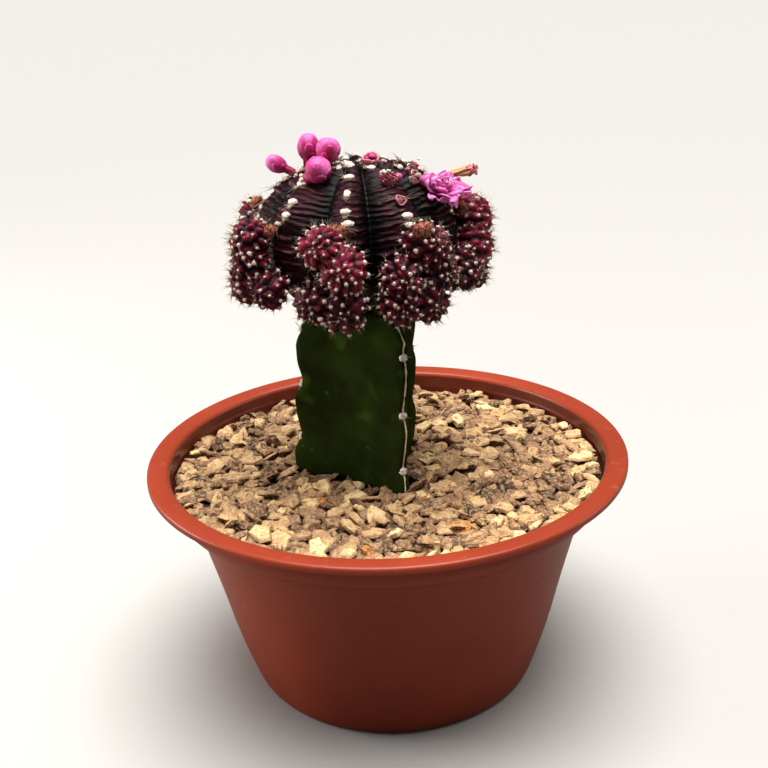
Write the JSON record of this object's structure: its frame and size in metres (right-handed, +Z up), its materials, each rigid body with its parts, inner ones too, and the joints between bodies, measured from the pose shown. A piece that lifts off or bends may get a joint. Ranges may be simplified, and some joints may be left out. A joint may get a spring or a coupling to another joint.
{
  "type": "potted moon cactus",
  "caption": "Grafted cactus: dark ribbed globe with clustered offsets, buds and an open flower on a winged green stem, in a shallow gravel-topped plastic pot.",
  "frame": {"origin": "middle of the pot's flat underside", "axes": "+Z up along the pot's axis, -Y towards the front of the plant, +X to its right"},
  "size_m": [0.12, 0.12, 0.139],
  "materials": {
    "terracotta_plastic": "moulded terracotta-red plastic, semi-gloss, faint scuffs and dust on the lip",
    "potting_mix": "dark crumbly potting mix",
    "stone_chips": "angular buff and tan crushed stone with a few grey chips, matt",
    "green_stem": "smooth waxy dark green skin with pale specks and a tan corky line on each wing",
    "dark_scion": "dark purple banded skin with cream woolly areoles",
    "maroon_offsets": "maroon tubercled skin with pale areoles and fine spines",
    "magenta_buds": "smooth magenta bud scales, darker towards the base",
    "rose_buds": "rose young buds in wool",
    "withered_petals": "dry peach-pink closed petals",
    "magenta_petals": "thin crinkled magenta petals, paler at the edges",
    "areole_wool": "cream felted wool of the areoles, shown as tufts on the stem, scion and offsets",
    "spine_horn": "horny grey-brown spines with darker tips",
    "corky_edge": "dry tan cork along the wings of the stem"
  },
  "bodies": {
    "root": {"pot": "terracotta_plastic", "potting_soil": "potting_mix", "gravel_top_dressing": "stone_chips", "rootstock": "green_stem", "scion": "dark_scion", "offset_cluster_1": "maroon_offsets", "offset_cluster_2": "maroon_offsets", "offset_cluster_3": "maroon_offsets", "offset_cluster_4": "maroon_offsets", "offset_cluster_5": "maroon_offsets", "offset_cluster_6": "maroon_offsets", "offset_cluster_7": "maroon_offsets", "offset_cluster_8": "maroon_offsets", "flower_bud_1": "magenta_buds", "flower_bud_2": "magenta_buds", "flower_bud_3": "magenta_buds", "flower_bud_4": "magenta_buds", "flower_bud_5": "magenta_buds", "young_bud_1": "rose_buds", "young_bud_2": "rose_buds", "young_bud_3": "rose_buds", "spent_flower": "withered_petals", "flower": "magenta_petals"}
  },
  "joints": []
}
